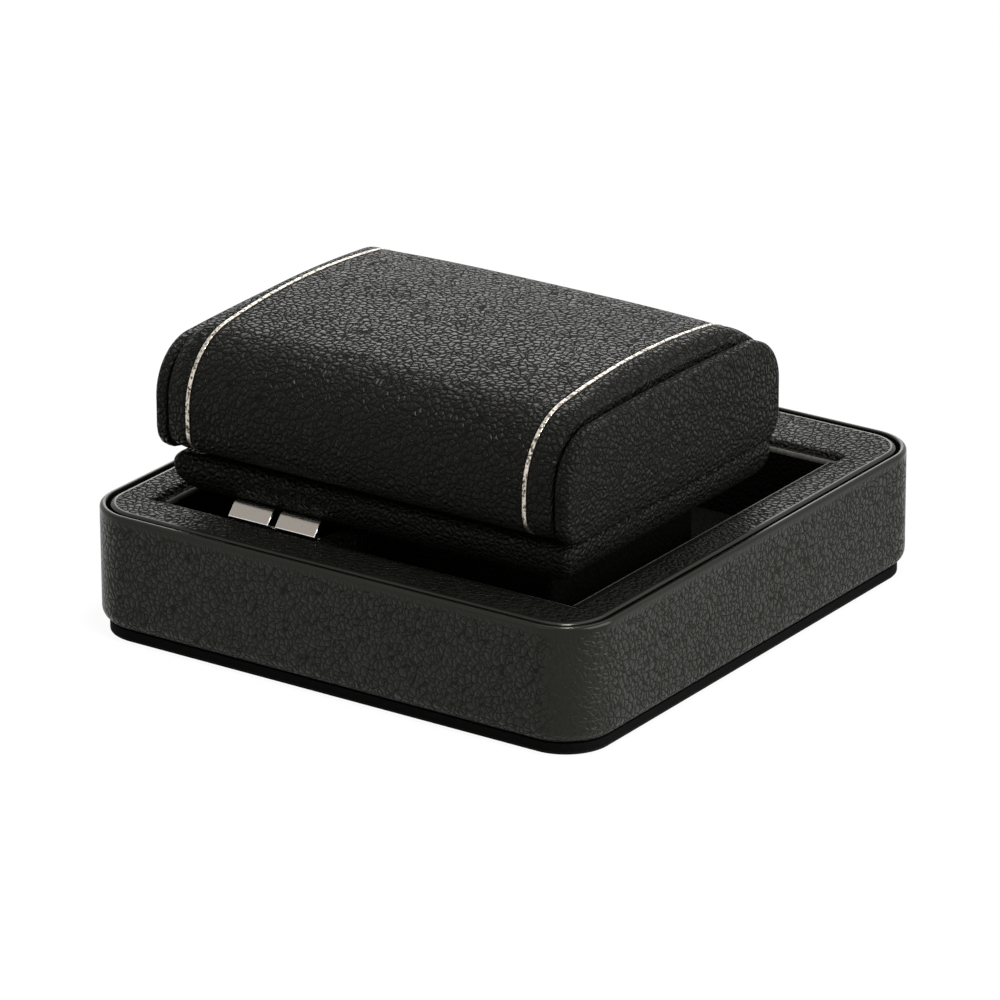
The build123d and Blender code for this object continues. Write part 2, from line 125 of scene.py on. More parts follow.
class StandCufflinkSizes(PropertyGroup):
    """Sizes of the cufflinks' faces."""
    height: length("Height", "Height of a face along its slope", 4.2)
    thickness: length("Thickness", "Thickness of a face", 1.2)
    bend: length("Bend", "How far above its middle a face bends back", 1.1)
    fall: length("Fall", "How far a face falls away above the bend", 0.7)
    lean: length("Lean", "How far the lower edge of a face is set back", 0.3)
    side_bevel: length("Side bevel", "Bevel of the edges at the sides of a face", 0.18)
    long_bevel: length("Long bevel", "Bevel of the upper and lower edges of a face", 0.24)
    polish_limit: length("Polish limit", "Surfaces smaller than a square of this side are polished", 3.9)
    tilt: FloatProperty(name="Tilt", description="How far a face leans back", default=math.radians(45.0),
                        subtype="ANGLE")


class StandFinishes(PropertyGroup):
    """Colours and grain of the stand's materials."""
    # leather and band are two copies of one black leather; band is glossier and, as painted light, lighter in colour
    # for the base's walls
    leather: colour("Leather", "black leather on the cushion, pad and rim", (0.0032, 0.0032, 0.0026))
    band: colour("Band leather", "black leather round the base", (0.0056, 0.0058, 0.0045))
    lining: colour("Lining", "well's lining", (0.0030, 0.0030, 0.0026))
    # near-black colour painted onto the rim's roll as the shade in the seam
    paint: colour("Edge paint", "shade painted into the seam", (0.0012, 0.0012, 0.0012))
    # much lighter colour painted along the linings' rolled top edges as a highlight
    worn: colour("Worn edge", "linings' worn top edges", (0.045, 0.043, 0.037))
    felt: colour("Felt", "felt under the base", (0.004, 0.004, 0.004))
    board: colour("Board", "black boards", (0.0030, 0.0029, 0.0028))
    fibreboard: colour("Fibreboard", "raw fibreboard", (0.30, 0.20, 0.115))
    foam: colour("Foam", "foam", (0.42, 0.40, 0.35))
    stripe: colour("Stripe", "silver stripes", (0.56, 0.51, 0.44))
    chrome: colour("Chrome", "cufflinks' polished edges and fittings", (0.80, 0.79, 0.76))
    # the faces' chrome is dimmed in colour: a painted reflection, darker than the polished edges
    satin: colour("Satin", "cufflinks' satin faces", (0.33, 0.30, 0.265))
    steel: colour("Steel", "keeper plates and magnets", (0.50, 0.50, 0.52))
    pebble: length("Pebble size", "Width of one pebble in the leather's grain", 1.3)


# Modelling by hand: everything here selects first and then acts on the selection

def object_mode():
    """Leave edit mode."""
    if bpy.context.mode != "OBJECT":
        bpy.ops.object.mode_set(mode="OBJECT")


def pick_only(*pieces):
    """Select these pieces alone."""
    object_mode()
    bpy.ops.object.select_all(action="DESELECT")
    for piece in pieces:
        piece.select_set(True)
        bpy.context.view_layer.objects.active = piece


def named(name):
    """Name the piece that was just added and put its place into its mesh."""
    piece = bpy.context.object
    piece.name = piece.data.name = name
    bpy.ops.object.transform_apply(location=True, rotation=True, scale=True)
    return piece


def add_block(name, low, high):
    """A block between two corners."""
    pick_only()
    low, high = Vector(low), Vector(high)
    bpy.ops.mesh.primitive_cube_add(size=1, location=(low + high) / 2)
    bpy.context.object.scale = high - low
    return named(name)


def add_plate(name, low, high):
    """A flat rectangle between two corners at the same height."""
    pick_only()
    low, high = Vector(low), Vector(high)
    bpy.ops.mesh.primitive_plane_add(size=1, location=(low + high) / 2)
    bpy.context.object.scale = (high.x - low.x, high.y - low.y, 1)
    return named(name)


def choose(piece, kind, test=lambda item: True):
    """Go into edit mode with the corners, edges or faces of one piece that pass a test selected."""
    if piece.mode != "EDIT":
        pick_only(piece)
        bpy.ops.object.mode_set(mode="EDIT")
    bpy.context.tool_settings.mesh_select_mode = (kind == "VERT", kind == "EDGE", kind == "FACE")
    bpy.ops.mesh.select_all(action="DESELECT")
    mesh = bmesh.from_edit_mesh(piece.data)
    items = {"VERT": mesh.verts, "EDGE": mesh.edges, "FACE": mesh.faces}[kind]
    chosen = [item for item in items if test(item)]
    if not chosen:
        raise RuntimeError(f"{piece.name}: nothing to select")
    for item in chosen:
        item.select_set(True)
    bmesh.update_edit_mesh(piece.data)


def same(a, b):
    return abs(a - b) < 1e-6


def upright(edge):
    a, b = (v.co for v in edge.verts)
    return same(a.x, b.x) and same(a.y, b.y) and not same(a.z, b.z)


def edge_at(**places):
    """A test for edges that lie at every place given along x, y and z."""
    return lambda edge: all(same(getattr(v.co, axis), place) for v in edge.verts for axis, place in places.items())


def sides_of(low, high):
    """The four upright planes round a box, as (axis, place)."""
    return [(0, low.x), (0, high.x), (1, low.y), (1, high.y)]


def within(c, low, high):
    """True where a place lies between two corners in plan."""
    return low.x < c.x < high.x and low.y < c.y < high.y


def facing(axis, sign, at):
    """A test for faces square to an axis, at a place along it."""
    return lambda face: face.normal[axis] * sign > 0.999 and same(face.calc_center_median()[axis], at)


def bevel(width, segments, affect="EDGES"):
    bpy.ops.mesh.bevel(offset_type="OFFSET", offset=width, segments=segments, profile=0.5, affect=affect,
                       clamp_overlap=False)


def push(offset):
    """Extrude the selection."""
    bpy.ops.mesh.extrude_region_move(TRANSFORM_OT_translate={"value": tuple(offset)})


def cut_opening(piece, lines, inside):
    """Cut a straight-sided opening through a piece: lines are (axis, place), inside tests a face's centre."""
    for axis, place in lines:
        choose(piece, "FACE")
        normal = Vector((axis == 0, axis == 1, 0))
        bpy.ops.mesh.bisect(plane_co=normal * place, plane_no=normal)
    choose(piece, "FACE", lambda face: abs(face.normal.z) > 0.999 and inside(face.calc_center_median()))
    bpy.ops.mesh.delete(type="FACE")
    choose(piece, "EDGE", lambda edge: edge.is_boundary)
    bpy.ops.mesh.bridge_edge_loops()


def coat_faces(piece, finish, test):
    """Give the faces that pass a test a finish of their own."""
    piece.data.materials.append(make_finish(finish))
    choose(piece, "FACE", test)
    piece.active_material_index = len(piece.data.materials) - 1
    bpy.ops.object.material_slot_assign()
    object_mode()


def check_closed(piece):
    """Turn the faces outwards and stop if the surface is open."""
    choose(piece, "VERT")
    bpy.ops.mesh.remove_doubles(threshold=1e-6)
    bpy.ops.mesh.normals_make_consistent(inside=False)
    mesh = bmesh.from_edit_mesh(piece.data)
    open_edges = sum(not edge.is_manifold for edge in mesh.edges)
    object_mode()
    if open_edges:
        raise RuntimeError(f"{piece.name}: {open_edges} open edges")


def shade(piece):
    """Smooth shading over rolls, with flat faces kept flat."""
    pick_only(piece)
    bpy.ops.object.shade_smooth_by_angle(angle=math.radians(40))
    modifier = piece.modifiers.new("Weighted Normal", "WEIGHTED_NORMAL")
    modifier.mode, modifier.weight, modifier.keep_sharp = "FACE_AREA", 80, True
    bpy.ops.object.modifier_apply(modifier=modifier.name)


def finish_piece(piece, slot, body, nodes, finish=None):
    """Close the piece, shade it, give it its material and its body, and hide the nodes that it stands for."""
    check_closed(piece)
    shade(piece)
    piece.data.materials.clear()
    piece.data.materials.append(make_finish(finish or slot))
    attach(piece, body)
    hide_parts(*nodes)


def quarter_turn(steps):
    """The sine and cosine at each step of a quarter turn."""
    angles = [math.pi / 2 * i / steps for i in range(steps + 1)]
    return [(math.sin(angle), math.cos(angle)) for angle in angles]


def well_corners():
    """Two opposite corners of the well inside the rim's lip."""
    low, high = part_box("well_lining_front_left")
    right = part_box("well_lining_front_right")[1].x
    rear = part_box("well_lining_rear")[1].y
    return Vector((low.x, low.y, low.z)), Vector((right, rear, high.z))


# Materials

def new_group(name, inputs, outputs):
    """An empty node group that takes a Vector and the inputs given with their defaults, and puts out numbers."""
    group = bpy.data.node_groups.new(name, "ShaderNodeTree")
    group.interface.new_socket(name="Vector", in_out="INPUT", socket_type="NodeSocketVector")
    for socket, default in inputs.items():
        kind = "NodeSocketVector" if isinstance(default, tuple) else "NodeSocketFloat"
        group.interface.new_socket(name=socket, in_out="INPUT", socket_type=kind).default_value = default
    for socket in outputs:
        group.interface.new_socket(name=socket, in_out="OUTPUT", socket_type="NodeSocketFloat")
    return group, Builder(group)


class Builder:
    """Adds nodes to a tree, left to right."""

    def __init__(self, tree):
        self.tree = tree
        self.column = 0

    def add(self, kind, **settings):
        node = self.tree.nodes.new(kind)
        node.location = (self.column, 0)
        self.column += 200
        for name, value in settings.items():
            setattr(node, name, value)
        return node

    def plug(self, socket, value):
        """Link a socket to another node's output, or set its value."""
        if isinstance(value, bpy.types.NodeSocket):
            self.tree.links.new(value, socket)
        else:
            socket.default_value = value

    def feed(self, node, **values):
        """Set or link a node's inputs by name, with _ for a space."""
        for name, value in values.items():
            self.plug(node.inputs[name.replace("_", " ")], value)

    def fed(self, kind, **values):
        """Add a node and set or link its inputs."""
        node = self.add(kind)
        self.feed(node, **values)
        return node

    def plus(self, a, b):
        return self.math("ADD", a, b)

    def times(self, a, b):
        return self.math("MULTIPLY", a, b)

    def math(self, operation, a, b=0.0):
        node = self.add("ShaderNodeMath", operation=operation)
        self.plug(node.inputs[0], a)
        self.plug(node.inputs[1], b)
        return node.outputs[0]

    def vector_math(self, operation, a, b):
        node = self.add("ShaderNodeVectorMath", operation=operation)
        self.plug(node.inputs[0], a)
        self.plug(node.inputs["Scale" if operation == "SCALE" else 1], b)
        return node.outputs[0]

    def remap(self, value, low, high, to_low=0.0, to_high=1.0):
        """Turn the range low to high into to_low to to_high, with soft ends."""
        node = self.add("ShaderNodeMapRange", interpolation_type="SMOOTHSTEP")
        self.feed(node, Value=value, From_Min=low, From_Max=high, To_Min=to_low, To_Max=to_high)
        return node.outputs["Result"]

    def noise(self, vector, scale, detail=2.0, roughness=0.5):
        return self.fed("ShaderNodeTexNoise", Vector=vector, Scale=scale, Detail=detail, Roughness=roughness)

    def mix_colour(self, factor, a, b):
        node = self.add("ShaderNodeMix", data_type="RGBA")
        for index, value in ((0, factor), (6, a), (7, b)):
            self.plug(node.inputs[index], value)
        return node.outputs[2]

    def mix_shaders(self, factor, first, second, output):
        """Mix two shaders and send them to a new output node."""
        mix = self.add("ShaderNodeMixShader")
        for socket, value in zip(mix.inputs, (factor, first.outputs[0], second.outputs[0])):
            self.plug(socket, value)
        self.fed(output, Surface=mix.outputs[0])


def empty_tree(owner):
    """Turn on nodes for a material or a world, with none in it yet."""
    owner.use_nodes = True
    owner.node_tree.nodes.clear()
    return Builder(owner.node_tree)


def pebble_group(name):
    """Leather grain: irregular pebbles parted by creases."""
    group, make = new_group(name, {"Pebbles per Metre": 600.0, "Waviness": 0.0006, "Crease Width": 0.16},
                            ["Height", "Crease", "Tone"])
    given = make.add("NodeGroupInput").outputs
    wave = make.noise(given["Vector"], scale=700.0, detail=3.0).outputs["Color"]
    shift = make.vector_math("SCALE", make.vector_math("SUBTRACT", wave, (0.5, 0.5, 0.5)), given["Waviness"])
    bent = make.vector_math("ADD", given["Vector"], shift)
    edge = make.add("ShaderNodeTexVoronoi", feature="DISTANCE_TO_EDGE")
    make.feed(edge, Vector=bent, Scale=given["Pebbles per Metre"])
    cell = make.fed("ShaderNodeTexVoronoi", Vector=bent, Scale=given["Pebbles per Metre"])
    depth_noise = make.noise(given["Vector"], scale=260.0, detail=3.0).outputs["Fac"]
    strength = make.remap(depth_noise, 0.32, 0.62, to_low=0.85)
    crease = make.remap(edge.outputs["Distance"], 0.0, given["Crease Width"], to_low=1.0, to_high=0.0)
    crease = make.times(crease, strength)
    dome = make.times(make.remap(edge.outputs["Distance"], 0.0, 0.5), strength)
    fine = make.noise(bent, scale=2600.0, roughness=0.6).outputs["Fac"]
    height = make.math("SUBTRACT", make.plus(dome, make.times(fine, 0.2)), make.times(crease, 0.8))
    tone = make.fed("ShaderNodeSeparateColor", Color=cell.outputs["Color"]).outputs[0]
    make.fed("NodeGroupOutput", Height=height, Crease=crease, Tone=tone)
    return group


def unevenness_group(name):
    """Slow changes over a surface, for tone and for a little waviness."""
    group, make = new_group(name, {"Patches per Metre": 60.0}, ["Height", "Tone"])
    given = make.add("NodeGroupInput").outputs
    slow = make.noise(given["Vector"], given["Patches per Metre"]).outputs["Fac"]
    make.fed("NodeGroupOutput", Height=slow, Tone=make.remap(slow, 0.3, 0.7))
    return group


def fibre_group(name):
    """Fine tangled fibres, for felt, foam, board and brushed metal."""
    group, make = new_group(name, {"Fibres per Metre": 3000.0, "Stretch": (1.0, 1.0, 1.0)}, ["Height", "Tone"])
    given = make.add("NodeGroupInput").outputs
    pulled = make.vector_math("MULTIPLY", given["Vector"], given["Stretch"])
    fine = make.noise(pulled, given["Fibres per Metre"], detail=4.0, roughness=0.65).outputs["Fac"]
    make.fed("NodeGroupOutput", Height=fine, Tone=make.remap(fine, 0.3, 0.7))
    return group


SHARED_GROUPS = {"Pebbled Grain": pebble_group, "Slow Unevenness": unevenness_group, "Fine Fibres": fibre_group}


def use_group(make, name, **inputs):
    """Place a shared group in a material, making it the first time."""
    node = make.add("ShaderNodeGroup")
    node.node_tree = bpy.data.node_groups.get(name) or SHARED_GROUPS[name](name)
    make.feed(node, **inputs)
    return node.outputs


def start_material(name, **shader_values):
    """A material with a Principled shader whose plain values are set on the shader itself."""
    material = bpy.data.materials.new(name)
    make = empty_tree(material)
    place = make.add("ShaderNodeTexCoord").outputs["Object"]
    shader = make.fed("ShaderNodeBsdfPrincipled", **shader_values)
    make.fed("ShaderNodeOutputMaterial", Surface=shader.outputs[0])
    return material, make, place, shader


def bump(make, shader, height, distance):
    node = make.fed("ShaderNodeBump", Strength=1.0, Distance=distance, Height=height)
    make.feed(shader, Normal=node.outputs[0])


def rgba(values, gain=1.0):
    return tuple(v * gain for v in values) + (1.0,)


def stretched_folds(make, place):
    """1 on the base's flat walls, falling where the leather is stretched smooth: the top fold and the corners."""
    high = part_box("side_band")[1]
    radius = bpy.context.scene.stand_base.corner_radius
    apart = make.fed("ShaderNodeSeparateXYZ", Vector=place).outputs
    fold_start, fold_end = high.z - 2.4 * MM, high.z - 0.9 * MM
    corner_end, corner_loss = 0.35 * radius, 0.7
    wall = make.remap(apart["Z"], fold_start, fold_end, to_low=1.0, to_high=0.0)
    sides = [make.remap(make.math("ABSOLUTE", apart[axis]), end - radius, end - corner_end)
             for axis, end in (("X", high.x), ("Y", high.y))]
    corner = make.times(make.times(*sides), corner_loss)
    return make.times(wall, make.math("SUBTRACT", 1.0, corner))


def pebbled_leather(name, base, roughness, grain_depth, specular, pebble_share=1.0, folds=None):
    """Black leather whose creases are duller than its pebbles and painted darker, as shade in them."""
    material, make, place, shader = start_material(name, Specular_IOR_Level=specular,
                                                   Specular_Tint=(1.0, 1.0, 0.88, 1.0))
    pebble = bpy.context.scene.stand_finishes.pebble * pebble_share
    grain = use_group(make, "Pebbled Grain", Vector=place, Pebbles_per_Metre=1.0 / pebble, Crease_Width=0.15)
    slow = use_group(make, "Slow Unevenness", Vector=place, Patches_per_Metre=45.0)
    body = make.mix_colour(slow["Tone"], rgba(base, 0.9), rgba(base, 1.1))
    body = make.mix_colour(make.times(grain["Tone"], 0.3), body, rgba(base, 1.3))
    crease, pebbles = grain["Crease"], grain["Height"]
    rough = make.times(slow["Tone"], 0.06)
    if folds:
        kept = folds(make, place)
        crease, pebbles = make.times(crease, kept), make.times(pebbles, kept)
        rough = make.plus(rough, make.times(make.math("SUBTRACT", kept, 1.0), 0.12))
    rough = make.plus(rough, make.times(crease, 0.6))
    # the creases are painted darker in colour: painted shade in the grain's hollows
    make.feed(shader, Base_Color=make.mix_colour(crease, body, rgba(base, 0.5)), Roughness=make.plus(rough, roughness))
    bump(make, shader, make.plus(pebbles, make.times(slow["Height"], 0.8)), grain_depth)
    return material


def fibre_material(name, base, fibres, depth, roughness, specular):
    """Matt material with fine fibres."""
    material, make, place, shader = start_material(name, Specular_IOR_Level=specular)
    fibre = use_group(make, "Fine Fibres", Vector=place, Fibres_per_Metre=fibres)
    make.feed(shader, Base_Color=make.mix_colour(fibre["Tone"], rgba(base, 0.65), rgba(base, 1.35)),
              Roughness=make.remap(fibre["Tone"], 0.0, 1.0, roughness, roughness + 0.08))
    bump(make, shader, fibre["Height"], depth)
    return material


def metal_material(name, base, roughness, variation, depth, stretch=(1.0, 1.0, 1.0)):
    """Metal with faint wear in its polish."""
    material, make, place, shader = start_material(name, Metallic=1.0)
    fibre = use_group(make, "Fine Fibres", Vector=place, Fibres_per_Metre=1500.0, Stretch=stretch)
    slow = use_group(make, "Slow Unevenness", Vector=place, Patches_per_Metre=220.0)
    metal = make.mix_colour(fibre["Tone"], rgba(base, 0.9), rgba(base, 1.06))
    rough = make.times(make.plus(fibre["Tone"], slow["Tone"]), variation / 2)
    make.feed(shader, Base_Color=metal, Roughness=make.plus(rough, roughness))
    bump(make, shader, fibre["Height"], depth)
    return material


def foil_material(name, base, depth):
    """Silver foil on leather, worn through to small dark specks."""
    material, make, place, shader = start_material(name, Metallic=1.0)
    fibre = use_group(make, "Fine Fibres", Vector=place, Fibres_per_Metre=1500.0)
    kept = make.remap(fibre["Height"], 0.40, 0.54)
    make.feed(shader, Base_Color=make.mix_colour(kept, rgba(base, 0.1), rgba(base)),
              Roughness=make.remap(kept, 0.0, 1.0, to_low=0.55, to_high=0.28))
    bump(make, shader, fibre["Height"], depth)
    return material


# Each finish: the function that makes it, its colour among the settings, and its numbers, with depths in metres
FINISHES = {
    "black_leather": (pebbled_leather, "leather", dict(roughness=0.26, grain_depth=0.00023, specular=0.082)),
    # the lighter copy of the black leather: painted light
    "band_leather": (pebbled_leather, "band", dict(roughness=0.31, grain_depth=0.00020, specular=0.185,
                                                   folds=stretched_folds)),
    "lining_leather": (pebbled_leather, "lining", dict(roughness=0.45, grain_depth=0.0001, specular=0.03,
                                                       pebble_share=0.9)),
    "edge_paint": (fibre_material, "paint", dict(fibres=1500.0, depth=0.00002, roughness=0.9, specular=0.0)),
    "worn_edge": (fibre_material, "worn", dict(fibres=1500.0, depth=0.00003, roughness=0.5, specular=0.1)),
    "black_felt": (fibre_material, "felt", dict(fibres=2600.0, depth=0.0001, roughness=0.9, specular=0.1)),
    "black_board": (fibre_material, "board", dict(fibres=1400.0, depth=0.00004, roughness=0.7, specular=0.02)),
    "fibreboard": (fibre_material, "fibreboard", dict(fibres=1800.0, depth=0.00005, roughness=0.8, specular=0.3)),
    "foam": (fibre_material, "foam", dict(fibres=1100.0, depth=0.0002, roughness=0.9, specular=0.2)),
    "silver_stripe": (foil_material, "stripe", dict(depth=0.00012)),
    "polished_chrome": (metal_material, "chrome", dict(roughness=0.05, variation=0.04, depth=0.000002)),
    "satin_chrome": (metal_material, "satin", dict(roughness=0.07, variation=0.06, depth=0.000002,
                                                   stretch=(1.0, 8.0, 8.0))),
    "steel": (metal_material, "steel", dict(roughness=0.28, variation=0.12, depth=0.00001,
                                            stretch=(1.0, 6.0, 6.0))),
}


def make_finish(finish):
    """The material for one finish, made once."""
    name = finish.replace("_", " ").title()
    material_of, setting, numbers = FINISHES[finish]
    base = getattr(bpy.context.scene.stand_finishes, setting)
    return bpy.data.materials.get(name) or material_of(name, base, **numbers)


# Outlines of the watch cushion

LEAST_ROLL = 0.5 * MM
TUCK_STEP = 0.3  # where the second station of a tucked seam lies, as a share of the tuck


def cushion_section(front, rear, bottom, top, front_radius, rear_radius, crown_radius, crown_y, foot):
    """The runs of one cross section: a start point, then straight runs and arcs, clockwise seen from +X."""
    crown = Vector((crown_y, top - crown_radius))

    def corner(y, radius, side):
        centre_y = y + side * radius
        reach = crown_radius - radius
        centre = Vector((centre_y, crown.y + math.sqrt(reach ** 2 - (centre_y - crown_y) ** 2)))
        meet = crown + (centre - crown) * (crown_radius / reach)
        return centre, meet

    front_centre, front_meet = corner(front, front_radius, 1)
    rear_centre, rear_meet = corner(rear, rear_radius, -1)

    def sweep(centre, start, end):
        """The angle from start to end about a centre."""
        a, b = start - centre, end - centre
        return abs(math.atan2(a.x * b.y - a.y * b.x, a.dot(b)))

    front_rise = Vector((front, front_centre.y))
    rear_rise = Vector((rear, rear_centre.y))
    quarter = math.pi / 2
    start = Vector((front + foot, bottom))
    return start, [
        ("arc", Vector((front + foot, bottom + foot)), quarter, 4),
        ("line", front_rise),
        ("arc", front_centre, sweep(front_centre, front_rise, front_meet), 14),
        ("arc", crown, sweep(crown, front_meet, rear_meet), 12),
        ("arc", rear_centre, sweep(rear_centre, rear_meet, rear_rise), 14),
        ("line", Vector((rear, bottom + foot))),
        ("arc", Vector((rear - foot, bottom + foot)), quarter, 4),
        ("line", start)]


def section_at(share, inset=0.0, bottom_of="cushion_panel"):
    """A section between the middle (share 0) and the end caps (share 1), drawn in by inset."""
    sizes = bpy.context.scene.stand_cushion
    body_low, body_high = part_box("cushion_panel")
    cap_low, cap_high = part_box("end_cap_right")

    def blend(start, end):
        return start + (end - start) * share

    return cushion_section(
        blend(body_low.y, cap_low.y) + inset, blend(body_high.y, cap_high.y) - inset,
        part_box(bottom_of)[0].z + max(inset, 0.0), blend(body_high.z, cap_high.z) - inset,
        blend(sizes.front_radius, sizes.end_front_radius) - inset,
        blend(sizes.rear_radius, sizes.end_rear_radius) - inset,
        blend(sizes.crown_radius, sizes.end_crown_radius) - inset,
        (body_low.y + body_high.y) / 2 + sizes.crown_offset, max(sizes.foot_radius - inset, LEAST_ROLL))


def trace_section(x, section):
    """Draw one section as a ring of edges in edit mode, with every new corner selected in turn."""
    start, runs = section
    here = start.copy()
    bpy.ops.mesh.primitive_plane_add(size=0.001, location=(x, start.x, start.y))
    bpy.ops.mesh.merge(type="CENTER")
    for kind, target, *numbers in runs:
        if kind == "line":
            push((0.0, target.x - here.x, target.y - here.y))
            here = target.copy()
        else:
            angle, steps = numbers
            bpy.ops.mesh.spin(steps=steps, angle=angle, center=(x, target.x, target.y), axis=(1.0, 0.0, 0.0))
            arm = here - target
            here = target + Vector((arm.x * math.cos(angle) + arm.y * math.sin(angle),
                                    arm.y * math.cos(angle) - arm.x * math.sin(angle)))


def sleeve(name, stations):
    """A closed body through sections: stations are (x, section)."""
    stations = sorted(stations, key=lambda station: station[0])
    pick_only()
    bpy.ops.mesh.primitive_plane_add(size=0.001, location=(stations[0][0], 0, 0))
    piece = named(name)
    bpy.ops.object.mode_set(mode="EDIT")
    bpy.context.tool_settings.mesh_select_mode = (True, False, False)
    bpy.ops.mesh.select_all(action="SELECT")
    bpy.ops.mesh.delete(type="VERT")
    for x, section in stations:
        trace_section(x, section)
    choose(piece, "VERT")
    bpy.ops.mesh.remove_doubles(threshold=1e-6)
    places = [x for x, section in stations]
    for a, b in zip(places, places[1:]):
        choose(piece, "EDGE", lambda edge: edge_at(x=a)(edge) or edge_at(x=b)(edge))
        bpy.ops.mesh.bridge_edge_loops()
    for x in (places[0], places[-1]):
        choose(piece, "EDGE", edge_at(x=x))
        bpy.ops.mesh.edge_face_add()
    object_mode()
    return piece


# The pieces, one operator each

class StandOperator(Operator):
    """What the stand's operators share."""
    bl_options = {"REGISTER", "UNDO"}

    def execute(self, context):
        self.build(context)
        object_mode()
        return {"FINISHED"}


class STAND_OT_stage(StandOperator):
    """Add the camera, the pale floor, the soft lamps and the plain surroundings"""
    bl_idname = "watch_stand.stage"
    bl_label = "Stage"

    def build(self, context):
        self.add_camera(context)
        self.add_floor()
        self.add_lamps()
        self.add_world(context)
        context.scene.view_settings.view_transform = "Standard"

    def add_camera(self, context):
        # place in metres; turn to the right, tip downwards and roll about the line of sight, in degrees
        place = (0.7524, -1.0923, 0.5408)
        turn, tip, roll = (math.radians(v) for v in (-34.62, 21.40, -0.24))
        ahead = Vector((math.sin(turn) * math.cos(tip), math.cos(turn) * math.cos(tip), -math.sin(tip)))
        level = Vector((math.cos(turn), -math.sin(turn), 0.0))
        raised = level.cross(ahead)
        side = level * math.cos(roll) + raised * math.sin(roll)
        top = raised * math.cos(roll) - level * math.sin(roll)
        camera = bpy.data.cameras.new("camera")
        camera.sensor_width = 36.0  # millimetres, and the focal length is given in such widths
        camera.lens = 7.134 * camera.sensor_width
        camera.clip_start, camera.clip_end = 0.05, 20.0
        holder = bpy.data.objects.new("camera", camera)
        context.scene.collection.objects.link(holder)
        turned = Matrix((side, top, -ahead)).transposed().to_4x4()
        holder.matrix_world = Matrix.Translation(place) @ turned
        context.scene.camera = holder

    def add_floor(self):
        pick_only()
        bpy.ops.mesh.primitive_plane_add(size=8.0, location=(0.0, 0.0, 0.0))
        floor = named("floor")
        material = bpy.data.materials.new("Pale Floor")
        make = empty_tree(material)
        tone, seen_share = 0.82, 0.94
        lit = make.fed("ShaderNodeBsdfDiffuse", Color=(tone, tone, tone, 1.0))
        plain = make.fed("ShaderNodeEmission", Color=WHITE, Strength=1.0)
        seen = make.times(self.seen_rays(make), seen_share)
        make.mix_shaders(seen, lit, plain, "ShaderNodeOutputMaterial")
        floor.data.materials.append(material)

    def seen_rays(self, make):
        """1 for what the camera sees directly, in a polished surface or through glass."""
        path = make.add("ShaderNodeLightPath").outputs
        total = make.math("MAXIMUM", path["Is Camera Ray"], path["Is Glossy Ray"])
        return make.math("MAXIMUM", total, path["Is Transmission Ray"])

    def add_lamps(self):
        # place and size in metres, power in watts
        lamps = {
            "overhead": ((-0.10, 0.30, 0.90), 0.80, 3.0),
            "key": ((0.16, -0.14, 0.97), 0.15, 8.0),
            "rear": ((-0.58, 0.84, 0.42), 0.60, 3.0),
            "right": ((0.90, 0.15, 0.35), 0.90, 14.0),
            "front": ((-0.25, -0.90, 0.60), 0.70, 1.0)}
        for name, (place, size, power) in lamps.items():
            lamp = bpy.data.lights.new(f"{name}_lamp", "AREA")
            lamp.shape = "SQUARE"
            lamp.size = size
            lamp.energy = power
            holder = bpy.data.objects.new(f"{name}_lamp", lamp)
            holder.visible_camera = False
            bpy.context.scene.collection.objects.link(holder)
            aim = Vector((0.0, 0.0, 0.03)) - Vector(place)
            holder.matrix_world = Matrix.Translation(place) @ aim.to_track_quat("-Z", "Y").to_matrix().to_4x4()

    def add_world(self, context):
        world = bpy.data.worlds.new("surroundings")
        make = empty_tree(world)
        soft = make.fed("ShaderNodeBackground", Color=WHITE, Strength=0.2)
        plain = make.fed("ShaderNodeBackground", Color=WHITE, Strength=1.0)
        make.mix_shaders(self.seen_rays(make), soft, plain, "ShaderNodeOutputWorld")
        context.scene.world = world


class STAND_OT_fittings(StandOperator):
    """Give the boards, foam, plates and metal fittings of the frame their finishes"""
    bl_idname = "watch_stand.fittings"
    bl_label = "Boards and fittings"

    def build(self, context):
        for name, node in frame["nodes"].items():
            material = make_finish(SLOT_OF[name])
            if not node.material_slots:
                node.data.materials.append(material)
            for slot in node.material_slots:
                slot.material = material


class STAND_OT_felt(StandOperator):
    """Glue the felt under the base plate"""
    bl_idname = "watch_stand.felt"
    bl_label = "Felt"

    def build(self, context):
        sizes = context.scene.stand_base
        low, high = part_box("base_felt")
        felt = add_block("felt_sheet", low, high)
        choose(felt, "EDGE", upright)
        bevel(sizes.corner_radius - sizes.plate_inset, 20)
        choose(felt, "EDGE", edge_at(z=low.z))
        bevel(sizes.felt_ease, 3)
        finish_piece(felt, "black_felt", "base", ["base_felt"])


class STAND_OT_side_band(StandOperator):
    """Wrap the base's walls in leather, rolled at the top and under the bottom"""
    bl_idname = "watch_stand.side_band"
    bl_label = "Side band"

    def build(self, context):
        sizes = context.scene.stand_base
        low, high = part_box("side_band")
        floor = low.z + sizes.band_thickness
        well = well_corners()
        band = add_block("side_band_leather", low, high)
        choose(band, "EDGE", upright)
        bevel(sizes.corner_radius, 20)
        choose(band, "EDGE", edge_at(z=high.z))
        bevel(sizes.band_top_roll, 6)
        choose(band, "EDGE", edge_at(z=low.z))
        bevel(sizes.band_bottom_roll, 8)
        choose(band, "FACE", facing(2, 1, high.z))
        inner = sizes.band_inner_roll
        bpy.ops.mesh.inset(thickness=sizes.band_thickness - sizes.band_top_roll - inner, depth=0.0)
        turns = quarter_turn(4)
        for (sine, cosine), (next_sine, next_cosine) in zip(turns, turns[1:]):
            bpy.ops.mesh.inset(thickness=inner * (next_sine - sine), depth=-inner * (cosine - next_cosine))
        push((0.0, 0.0, floor - high.z + inner))
        cut_opening(band, sides_of(*well), lambda c: c.z < floor + MM and within(c, *well))
        # the side band gets the lighter copy of the black leather: painted light on the base's walls
        finish_piece(band, "black_leather", "base", ["side_band"], finish="band_leather")


